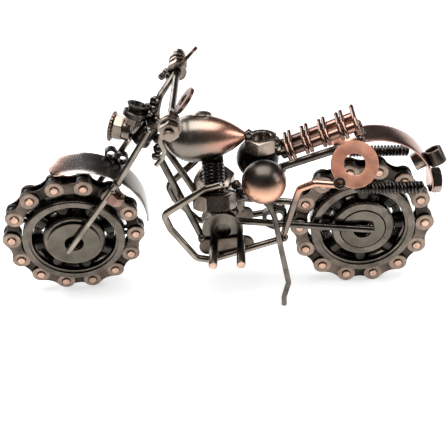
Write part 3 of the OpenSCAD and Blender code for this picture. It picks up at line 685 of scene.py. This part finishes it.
def on_axis(distance):
    """Matrix of a place along the steering axis, measured from the head."""
    return aim(HEAD + distance * STEER_AXIS, STEER_AXIS)


yoke_at = SLEEVE_H / 2 + 0.35 + CLAMP_T / 2
stem_half = SLEEVE_H / 2 + CLAMP_T + 0.6
yokes = [moved(washer(4.2, 2.3, CLAMP_T, 0.5), on_axis(side * yoke_at)) for side in (-1, 1)]
stem = moved(rod(2.4, 2 * stem_half), on_axis(-stem_half))
arm_at = HEAD + yoke_at * STEER_AXIS + Vector((-2, 0, 1.6))
arm = moved(wire([(0, -6.8, 0), (0, 6.8, 0)], 1.5), Matrix.Translation(arm_at))
piece("steering_stem", [*yokes, stem, arm], STEERED)
piece("head_sleeve", [moved(washer(4, 2.46, SLEEVE_H, 0.4), on_axis(0))], BIKE)

leg = [FORK_FOOT, FORK_KNEE, FORK_TOP]
piece("fork_legs", [wire(leg, FORK_R, 14), wire([flip(p) for p in leg], FORK_R, 14)], STEERED, FORK_STEEL)
leg_dir = (Vector(FORK_KNEE) - Vector(FORK_FOOT)).normalized()
behind_leg = 3.2 * Vector((leg_dir.z, 0, -leg_dir.x))
leg_nuts = []
for side in (-1, 1):
    knee = Vector((FORK_KNEE[0], side * fork_y, FORK_KNEE[2]))
    centre = knee - 8 * leg_dir + behind_leg
    leg_nuts.append(moved(hex_nut(6.8, 4.8, 1.6), aim(centre, leg_dir, FORK_NUT_SPIN)))
piece("fork_nuts", leg_nuts, STEERED, CLIP_COPPER)


# ---- Mudguards ----
def guard(centre, radius, half_w, start, end, crown=0.35, corner=5.5, sheet=0.9):
    """Curved strip with rounded corners, slightly crowned across; angles from +X towards +Z."""
    length = math.radians(end - start) * radius
    stations = [corner * (1 - math.cos(math.pi / 2 * k / 8)) for k in range(9)]
    middle = [corner + (length - 2 * corner) * k / 48 for k in range(1, 48)]
    along = stations + middle + [length - s for s in reversed(stations)]
    across = 12
    layers = []
    for side in (-1, 1):
        rows = []
        for s in along:
            near_end = min(s, length - s, corner)
            width = half_w - corner + math.sqrt(max(0.0, corner**2 - (corner - near_end) ** 2))
            a = math.radians(start) + s / radius
            row = []
            for k in range(across + 1):
                t = 2 * k / across - 1
                edge = min(1.0, (1 - abs(t)) * width / 0.35)
                r = radius + side * (sheet / 2) * (0.55 + 0.45 * edge) - crown * t * t
                x = centre[0] + r * math.cos(a)
                z = centre[2] + r * math.sin(a)
                row.append(Vector((x, centre[1] + t * width, z)))
            rows.append(row)
        layers.append(rows)
    points = [p for rows in layers for row in rows for p in row]
    size, total = across + 1, len(along) * (across + 1)

    def index(layer, i, k):
        return layer * total + i * size + k

    faces = []
    last = len(along) - 1
    for i in range(last):
        for k in range(across):
            for layer in (0, 1):
                near = [index(layer, i, k), index(layer, i + 1, k)]
                faces.append([*near, index(layer, i + 1, k + 1), index(layer, i, k + 1)])
        for k in (0, across):
            faces.append([index(0, i, k), index(0, i + 1, k), index(1, i + 1, k), index(1, i, k)])
    for i in (0, last):
        for k in range(across):
            faces.append([index(0, i, k), index(0, i, k + 1), index(1, i, k + 1), index(1, i, k)])
    return points, faces


FRONT_GUARD = (-61.6, 0, 42.1)
FRONT_GUARD_R = 30.3
REAR_GUARD = (71, 0, 51.8)
REAR_GUARD_R = 26
# The front mudguard's colour bands are partly painted reflection.
piece("front_fender", [guard(FRONT_GUARD, FRONT_GUARD_R, 7.7, -10, 108)], STEERED)
piece("rear_fender", [guard(REAR_GUARD, REAR_GUARD_R, 7.3, -8, 107)], BIKE)


def from_guard(centre, angle, distance):
    """Point and outward direction on a mudguard's circle, angle in degrees from +X towards +Z."""
    a = math.radians(angle)
    outward = Vector((math.cos(a), 0, math.sin(a)))
    return Vector(centre) + distance * outward, outward


tubes = []
for angle in (48, 58):
    centre, _ = from_guard(FRONT_GUARD, angle, FRONT_GUARD_R + 0.45 + 2.65)
    tubes.append(moved(washer(2.8, 1.9, 3.6, 0.3, 40), aim(centre + Vector((0, 6.6, 0)), (0, 1, 0))))
piece("fender_bushes", tubes, STEERED)

# ---- Headlight and gauge ----
LIGHT_DIR = Vector((-0.92, 0.28, 0.25)).normalized()
LIGHT = Vector((-31.25, 0, 84))
GAUGE_DIR = Vector((0.38, 0.2, 0.9)).normalized()
GAUGE = Vector((-29.6, 0, 94.6))


def knurled_ring(radius, lip, thickness, teeth=30):
    """Ring with a knurled outside, a rolled lip and a shallow dished floor, open towards +Z."""
    half = thickness / 2
    segments = teeth * 6
    rings = []
    profile = [
        (0, -half), (radius - 0.6, -half), (radius, -half + 0.5), (radius, half - 0.5),
        (radius - 0.5, half), (lip, half), (lip - 0.3, half - 0.4), (lip - 0.5, half - 1.5),
        (0, half - 1.8),
    ]
    for i, (r, z) in enumerate(profile):
        if r == 0:
            rings.append([Vector((0, 0, z))])
            continue
        ring = []
        for k in range(segments):
            a = 2 * math.pi * k / segments
            ridge = 0.16 * max(0.0, math.cos(a * teeth)) if i in (2, 3) else 0.0
            ring.append(Vector(((r - 0.16 + ridge) * math.cos(a), (r - 0.16 + ridge) * math.sin(a), z)))
        rings.append(ring)
    return stitched(rings)


rim = moved(knurled_ring(6.6, 5.4, 1.7), aim(LIGHT + 10.3 * LIGHT_DIR, LIGHT_DIR))
piece("headlight_rim", [rim], STEERED, RIM_STEEL)
shell = moved(hex_head(9.8, 4.2), aim(LIGHT + 7.4 * LIGHT_DIR, LIGHT_DIR, 0.25))
piece("headlight_shell", [shell], STEERED, MATERIALS["nut_pewter"])
light_washer = moved(washer(4.6, 1.9, 3.4, 0.4), aim(LIGHT + 3.6 * LIGHT_DIR, LIGHT_DIR))
gauge_nut = moved(hex_nut(6.2, 3.4, 1.9), aim(GAUGE - 4.5 * GAUGE_DIR, GAUGE_DIR, 0.2))
piece("headlight_nuts", [light_washer], STEERED, None, 32, [gauge_nut], MATERIALS["nut_pewter"])
cup = [
    (0, -2.8), (4.9, -2.8), (5.2, -2.5), (5.2, -0.7), (4.8, -0.2), (3.3, 0.1), (3.2, 0.4),
    (4.55, 2.8), (4.4, 3),
    (3.5, 3), (2.5, 1.4), (0, 1.2),
]
piece("gauge_cup", [moved(lathe(cup, 72, closed=False), aim(GAUGE, GAUGE_DIR))], STEERED)

# ---- Handlebar: it stands square to the frame, and turns with the fork ----
CROSS_NEAR = Vector((-12.2, -36.5, 100.9))
CROSS_FAR = Vector((-12.6, 30.5, 104.2))
BAR_DIR = (CROSS_FAR - CROSS_NEAR).normalized()
BAR_LENGTH = (CROSS_FAR - CROSS_NEAR).length
RISER = [(-13.4, 14.8, 103.2), (-19.6, 3.2, 98.2), (-21.3, 0.6, 92.6), (-21.6, 0, 88.6)]


def on_bar(distance):
    return aim(CROSS_NEAR + distance * BAR_DIR, BAR_DIR)


piece("handlebar", [wire([CROSS_NEAR, CROSS_FAR], BAR_R), wire(RISER, BAR_R, 6)], BIKE)
stack = [moved(hex_nut(7.2, 3, BAR_R + 0.05), on_bar(d)) for d in (2, 8.9)]
stack += [moved(washer(4.6, BAR_R + 0.05, 1.3, 0.35), on_bar(d)) for d in (4.5, 6.3)]
stack += [moved(washer(4.1, BAR_R + 0.05, 2, 0.5), on_bar(BAR_LENGTH - d)) for d in (4.2, 8.2)]
stack.append(moved(hex_nut(7, 3, BAR_R + 0.05), on_bar(BAR_LENGTH - 11.4)))
stack.append(moved(washer(4.3, BAR_R + 0.05, 1.4, 0.4), on_bar(BAR_LENGTH - 14.4)))
piece("grip_nuts", stack, BIKE)
near_end = moved(rod(2.1, 2.2, 0.5), aim(CROSS_NEAR, -BAR_DIR))
far_end = [(0, 0), (3.1, 0), (3.1, 2.2), (2.6, 3.5), (1.4, 4.3), (0, 4.4)]
piece("grip_bolts", [near_end, moved(lathe(far_end, 40, closed=False), on_bar(BAR_LENGTH))], BIKE)

NEAR_LEVER = [
    (-14.2, -27, 99.8), (-15.9, -27, 96.7), (-17.3, -27, 92.4), (-15.9, -27, 88.2),
    (-17.4, -27, 84.9), (-20.4, -27, 82),
]
FAR_LEVER = [(-14.5, 19, 104.4), (-17.8, 20.2, 101.6), (-20.8, 20.6, 98.8)]
piece("levers", [wire(NEAR_LEVER, 0.95, 2.2), wire(FAR_LEVER, 1.5, 2.2)], BIKE, FORK_STEEL)

discs = [
    moved(washer(5.9, 2.5, 1.5, 0.35), aim((-6.6, -22, 107.4), (0.765, 0, -0.644))),
    moved(washer(5.6, 2.4, 1.5, 0.35), aim((-7.2, 18, 109.3), (0.68, -0.22, -0.7))),
]
piece("mirrors", discs, BIKE, DARK_COPPER)

FRONT_BEADS = [
    ((-25.6, -6.6, 88.4), 2.1), ((-25.6, 6.6, 88.4), 2.1), ((-42.3, -9.2, 65.2), 2.3),
    ((-42.3, 9.2, 65.2), 2.3), ((-44.6, -10.2, 61.6), 1.6), ((-44.6, 10.2, 61.6), 1.6),
    ((-24.4, 0.4, 92), 2.6), ((-21.6, -2.2, 90.2), 2), ((-24.4, 1.6, 95), 1.9),
    ((-33.7, 0.4, 81.9), 1.8), ((-69.4, -8.6, 31.4), 1.6), ((-69.4, 8.6, 31.4), 1.6),
]
BAR_BEADS = [
    ((-21.8, 1.8, 97), 2.3), ((-22.4, 0.2, 94), 2.1), ((-15.6, 13.2, 102.4), 2.1), ((-17.4, 20, 102), 2.1),
    ((-19.6, 20.4, 100), 1.9), ((-11.3, -22, 102.5), 2),
]
# The handlebar stands square to the frame, so its beads undo the turn of the front end
unturned = STEERED.inverted() @ BIKE
front_beads = [bead(c, r, i) for i, (c, r) in enumerate(FRONT_BEADS)]
front_beads += [moved(bead(c, r, i + 0.5), unturned) for i, (c, r) in enumerate(BAR_BEADS)]
piece("front_welds", front_beads, STEERED)

# ---- Frame ----
DOWN_LEFT = [(-24.6, -4.6, 73.6), (-21.9, -5.4, 74.6), (-5.6, -9.1, 31)]
DOWN_RIGHT = [(-24.2, 4.6, 75), (-20.6, 5.2, 73.4), (-6, 9.1, 40)]
CRASH_LEFT = [
    (5, -15.4, 64.6), (-2, -15.2, 62.7), (-21.9, -12.7, 48.6), (-19.6, -13, 41),
    (-9.2, -13.9, 25), (-3, -13.9, 23.6),
    (31, -11.6, 32.4),
]
CRASH_RIGHT = [
    (-7.4, 13.4, 61), (-22, 12.7, 48.2), (-19.6, 13, 40), (-9.6, 13.9, 27), (-3, 13.9, 26),
    (31, 11.6, 32.4),
]
STAY = [(30.6, -11.4, 33.6), (38.2, -12.6, 58.9), (45, -13.8, 62.1), (57, -16.6, 62)]
STAND = [
    (24.2, -12.6, 53.2), (27, -13.6, 45.4), (29.4, -16.6, 30), (32.3, -19.4, 12.8),
    (30, -19.6, 4.5), (30, -19.6, 0),
]
stay_y = RACE_HALF_W + 0.4 + WIRE_R
piece("down_tubes", [wire(DOWN_LEFT, WIRE_R, 2.4), wire(DOWN_RIGHT, WIRE_R, 4)], BIKE)
# Painted highlight: the near crash bar wears the lighter fork steel, while the far one keeps the darker slot
# colour.
piece("crash_bar_left", [wire(CRASH_LEFT, WIRE_R, 3.4)], BIKE, FORK_STEEL)
piece("crash_bar_right", [wire(CRASH_RIGHT, WIRE_R, 3.4)], BIKE)
piece("chainstays", [wire([(10, s * 9.6, 41.6), (71.8, s * stay_y, 33)], WIRE_R) for s in (-1, 1)], BIKE)
piece("rear_stay", [wire(STAY, WIRE_R, 4)], BIKE)
piece("seat_rail", [wire([(27.5, 0, 61.6), (62.4, 0, 72.6), (68.4, 0, 76)], 1.8, 6)], BIKE)
piece("kickstand", [wire(STAND, STAND_R, 2.6)], BIKE)
piece("stand_nut", [moved(hex_nut(11, 3.6, 3.7), aim((27.1, -8.4, 42), (0, -1, 0)))], BIKE)

# ---- Tank ----
TANK = Vector((-6.6, 0, 79.2))
TANK_NOSE, TANK_TAIL, TANK_R = 13.4, 24, 10.3


def tank_shape(steps=28):
    """Blunt nose and tapering tail: two arcs that meet at the widest place."""
    profile = []
    for k in range(-steps, steps + 1):
        length = TANK_NOSE if k < 0 else TANK_TAIL
        x = length * math.sin(math.pi / 2 * k / steps)
        arc_r = (length**2 + TANK_R**2) / (2 * TANK_R)
        profile.append((max(0.0, TANK_R - arc_r + math.sqrt(arc_r**2 - x * x)), x))
    profile[0] = (0, -TANK_NOSE)
    profile[-1] = (0, TANK_TAIL)
    return lathe(profile, 96, closed=False)


piece("fuel_tank", [moved(tank_shape(), aim(TANK, (1, 0, 0)))], BIKE)
cap = [(0, -1), (4.1, -1), (4.3, 0), (4.1, 0.6), (3.2, 1.15), (2.2, 1.5), (1.2, 1.75), (0, 1.8)]
cap_tilt = math.radians(14)
cap_up = Vector((0, math.sin(cap_tilt), math.cos(cap_tilt)))
cap_at = TANK + Vector((4.4, 0, 0)) + (TANK_R - 0.35) * cap_up
piece("tank_cap", [moved(lathe(cap, 56, closed=False), aim(cap_at, cap_up))], BIKE)

# ---- Engine ----
threads, heads = [], []
for centre, lean, shank in (((1.2, -12.6, 54.5), -23, 14.2), ((0.2, 9.4, 51.2), 9.5, 14.8)):
    place = Matrix.Translation(centre) @ Matrix.Rotation(math.radians(lean), 4, "X")
    threads.append(moved(thread(5, 0.75, 1.5, shank), place @ Matrix.Translation((0, 0, 3.3))))
    threads.append(moved(washer(6.6, 4.4, 0.8, 0.3), place @ Matrix.Translation((0, 0, 3.9))))
    heads.append(moved(hex_head(17, 7), place @ Matrix.Rotation(math.radians(42), 4, "Z")))
piece("cylinder_bolts", threads, BIKE, None, 32, heads, MATERIALS["nut_pewter"])

CASE = Vector((3.5, 0, 37.5))
case = [moved(rod(6.4, 17.4, 0.5, 64), aim(CASE - Vector((0, 8.7, 0)), (0, 1, 0)))]
for side in (-1, 1):
    cover_at = CASE + Vector((0, side * 9.9, 0))
    case.append(moved(washer(9.3, 3.6, 2.4, 0.45, 96), aim(cover_at, (0, 1, 0))))
block = [(-6.5, -2.6), (6.5, -2.6), (6.5, 2.6), (-6.5, 2.6)]
case.append(moved(plate([rounded(block, 1.2)], 12, 0.6), aim(CASE + Vector((0, 0, 8.4)), (0, 1, 0))))
piece("crankcase", case, BIKE)

PLATE_FRONT, PLATE_REAR = (-3.6, 29.8), (13.3, 30.6)
PLATE_Y = 11.9
PEG_END = 31.8
plates, pegs, peg_tips = [], [], []
peg_plate = plate([arc(PLATE_FRONT, 4.1, 90, 270, 16) + arc(PLATE_REAR, 4.1, -90, 90, 16)], 1.8, 0.3)
for side in (-1, 1):
    lay = Matrix.Translation((0, side * PLATE_Y, 0)) @ Matrix.Rotation(math.pi / 2, 4, "X")
    plates.append(moved(peg_plate, lay))
    for x, z in ((-0.6, 33.6), (11.6, 33.5)):
        outward = (0, side, 0)
        peg = rod(1.95, PEG_END - PLATE_Y + 0.8, 0.4)
        pegs.append(moved(peg, aim((x, side * (PLATE_Y - 0.9), z), outward)))
        peg_tips.append(moved(rod(1.6, 0.5, 0.15), aim((x, side * (PEG_END - 0.5), z), outward)))
piece("footpeg_plates", plates, BIKE)
piece("footpegs", pegs, BIKE, None, 32, peg_tips, MATERIALS["copper_pin"])
BALLS = ((23, -10.8, 62), (20.6, 10.8, 61.8))
# Painted reflection and painted shade on the side balls, from the colour bands of their material.
piece("side_balls", [moved(ball(9.7, 48), Matrix.Translation(c)) for c in BALLS], BIKE, SIDE_BALL_PAINTED_LIGHT)

# ---- Seat ----
SEAT_NUT_SPIN = math.radians(-8)
piece("seat_nut", [moved(hex_nut(13, 6.4, 4.2), aim((22.5, 0, 75.5), (0, 0, 1), SEAT_NUT_SPIN))], BIKE)
SEAT_FRONT, SEAT_BACK = Vector((31, 0, 71.6)), Vector((63.7, 0, 83.8))
SEAT_DIR = (SEAT_BACK - SEAT_FRONT).normalized()
SEAT_UP = Vector((-SEAT_DIR.z, 0, SEAT_DIR.x))
ROD_R, ROD_Y = 2.4, 4.2
CLIP_R = 0.9
clip_lie = ROD_R + CLIP_R + 0.06
rods = [[SEAT_FRONT + Vector((0, s * ROD_Y, 0)), SEAT_BACK + Vector((0, s * ROD_Y, 0))] for s in (-1, 1)]
piece("seat_rods", [wire(points, ROD_R) for points in rods], BIKE, ROD_STEEL)


def clip_leg(distance, tip):
    """One leg of a wire clip: far tip, over both rods, then down the near side."""
    shape = (
        (ROD_Y + 1.8 + tip, clip_lie + 0.4), (ROD_Y, clip_lie), (-ROD_Y, clip_lie),
        (-ROD_Y - clip_lie, clip_lie * 0.2), (-ROD_Y - clip_lie, -2.4),
    )
    return [SEAT_FRONT + distance * SEAT_DIR + h * SEAT_UP + Vector((0, y, 0)) for y, h in shape]


clips = []
for d in (4.4, 12.3, 20.2, 28.1):
    clips += [wire(clip_leg(d - 1, 0), CLIP_R, 1.8, 14), wire(clip_leg(d + 1, 0.6), CLIP_R, 1.8, 14)]
clips.append(wire(clip_leg(34.2, 1.4), CLIP_R + 0.1, 1.8, 14))
piece("seat_clips", clips, BIKE, CLIP_COPPER)

# ---- Side washers, springs and tail ----
WASHER_DIR = (0.05, -0.82, 0.56)
side_washers, eyelets, springs = [], [], []
for side in (1, -1):
    mirror = Matrix.Scale(side, 4, (0, 1, 0))
    side_washers.append(moved(washer(10.1, 4.7, 1.6, 0.3, 96), mirror @ aim((61.4, -13, 69.9), WASHER_DIR)))
    eyelets.append(moved(washer(2.6, 1.1, 1.4, 0.4, 40), mirror @ aim((54.6, -18.4, 64.2), WASHER_DIR)))
    lay = mirror @ aim((61.5, -16, 60), (1, 0, -0.035))
    springs.append(moved(sweep(coil(2.1, 0.62, 1.5, 27.7), 0.62, 10), lay))
    springs.append(moved(rod(1.3, 28.4, 0.4, 24), lay))
piece("side_washers", side_washers, BIKE, None, 32, eyelets, MATERIALS["nut_pewter"])
piece("exhaust_springs", springs, BIKE)
piece("tail_light", [moved(washer(3.8, 2.6, 7, 0.4), aim((98.2, 0, 64.6), (-0.42, 0.2, 0.85)))], BIKE)

nut_at, outward = from_guard(REAR_GUARD, 1, REAR_GUARD_R + 0.45 + 1.95)
tail_nut = moved(hex_nut(10, 4, 2.4), aim(nut_at, outward, 0.5))
stub_at, outward = from_guard(REAR_GUARD, 29, REAR_GUARD_R - 0.45 - 5.1)
tail_stub = moved(rod(3.9, 5.2, 0.5), aim(stub_at, outward))
piece("tail_nuts", [tail_nut, tail_stub], BIKE)

FRAME_BEADS = [
    ((-21.9, -3.7, 77.1), 2.5), ((-21.9, 3.7, 77.1), 2.5), ((-22.5, 0, 80), 2.4),
    ((-19.8, 0, 78.6), 2.2), ((-6, -10.4, 33.4), 2.4), ((-6, 9.6, 41.4), 2.4), ((3, -6.6, 44.6), 2.6),
    ((8.6, -7.2, 46), 3), ((12.6, 0, 50), 3.2), ((14.2, -4.4, 52.4), 2.9), ((10.4, 5, 51.4), 2.6),
    ((30.8, -12.2, 33.2), 2.4), ((30.8, 12.2, 33.2), 2.4), ((29, -3, 63.4), 2.8), ((31, 1.6, 60.8), 2.4),
    ((17.4, 0, 79.8), 2.4), ((28.6, 0, 76.2), 2.2), ((64.6, -5.4, 77.4), 2.2), ((64.6, 5.4, 77.4), 2.2),
    ((22, 0, 60.5), 2.6), ((30.2, -3.6, 72.8), 2.2), ((30.2, 3.6, 72.8), 2.2), ((64, -3.6, 80), 2.6),
    ((64, 3.6, 80), 2.6), ((66.4, 1, 76.4), 2.6), ((57.2, -17.2, 62.1), 1.8), ((57.2, 17.2, 62.1), 1.8),
    ((70.5, -7.2, 33.4), 1.6), ((70.5, 7.2, 33.4), 1.6), ((24.6, -9.6, 50.4), 2.2),
]
piece("frame_welds", [bead(c, r, i) for i, (c, r) in enumerate(FRAME_BEADS)], BIKE)

# ---- Floor, light and camera ----
def floor_white():
    """White sheet that also gives off some light of its own, which keeps the shadow under the bike pale."""
    material = bpy.data.materials.new("floor_white")
    material.use_nodes = True
    shader = material.node_tree.nodes["Principled BSDF"]
    shader.inputs["Base Color"].default_value = (0.9, 0.9, 0.9, 1)
    shader.inputs["Roughness"].default_value = 0.35
    shader.inputs["Emission Color"].default_value = (1, 1, 1, 1)
    shader.inputs["Emission Strength"].default_value = 0.62
    return material


floor_mesh = bpy.data.meshes.new("floor")
FLOOR_REACH = 4.0
floor_signs = ((-1, -1), (1, -1), (1, 1), (-1, 1))
corners = [(x * FLOOR_REACH, y * FLOOR_REACH, 0) for x, y in floor_signs]
floor_mesh.from_pydata(corners, [], [[0, 1, 2, 3]])
floor = bpy.data.objects.new("floor", floor_mesh)
bpy.context.scene.collection.objects.link(floor)
floor.data.materials.append(floor_white())


def softbox(name, position, target, width, height, watts):
    """Rectangular lamp that points at the target and isn't seen by the camera itself."""
    light = bpy.data.lights.new(name, "AREA")
    light.shape = "RECTANGLE"
    light.size, light.size_y, light.energy = width, height, watts
    holder = bpy.data.objects.new(name, light)
    holder.location = position
    holder.rotation_mode = "QUATERNION"
    holder.rotation_quaternion = (Vector(target) - Vector(position)).to_track_quat("-Z", "Y")
    holder.visible_camera = False
    bpy.context.scene.collection.objects.link(holder)


softbox("top", (0.0, 0.05, 0.75), (0, 0, 0.05), 0.8, 0.6, 6.5)
softbox("left_back", (-0.55, 0.9, 0.42), (0, 0, 0.05), 0.75, 0.4, 4.0)
softbox("backdrop", (0.3, 1.3, 0.12), (0, 0, 0.06), 2.4, 0.3, 2.0)
softbox("right", (0.75, -0.1, 0.4), (0, 0, 0.05), 0.3, 0.5, 2.0)

world = bpy.data.worlds.new("studio")
world.use_nodes = True
background = world.node_tree.nodes["Background"]
background.inputs["Color"].default_value = (1, 1, 1, 1)
background.inputs["Strength"].default_value = 0.06
bpy.context.scene.world = world
bpy.context.scene.view_settings.view_transform = "Standard"

# The view: from the front left, above, at the angle of the picture that it is matched to
CAMERA_TARGET = Vector((3.63, 0, 33.54))
CAMERA_AZIMUTH, CAMERA_HEIGHT, CAMERA_ROLL = (math.radians(a) for a in (3.596, 34.354, -4.558))
CAMERA_DISTANCE = 357.0
CAMERA_LENS = 61.57
back = Vector((
    math.sin(CAMERA_AZIMUTH) * math.cos(CAMERA_HEIGHT),
    -math.cos(CAMERA_AZIMUTH) * math.cos(CAMERA_HEIGHT),
    math.sin(CAMERA_HEIGHT),
))
camera = bpy.data.objects.new("camera", bpy.data.cameras.new("camera"))
camera.data.lens = CAMERA_LENS
camera.data.sensor_width = 36
camera.data.clip_start, camera.data.clip_end = 0.01, 20
camera.location = BIKE @ (CAMERA_TARGET + CAMERA_DISTANCE * back)
camera.rotation_mode = "QUATERNION"
right = (-back).cross(Vector((0, 0, 1))).normalized()
up = right.cross(-back)
tilted_right = math.cos(CAMERA_ROLL) * right + math.sin(CAMERA_ROLL) * up
tilted_up = math.cos(CAMERA_ROLL) * up - math.sin(CAMERA_ROLL) * right
camera.rotation_quaternion = Matrix((tilted_right, tilted_up, back)).transposed().to_quaternion()
bpy.context.scene.collection.objects.link(camera)
bpy.context.scene.camera = camera
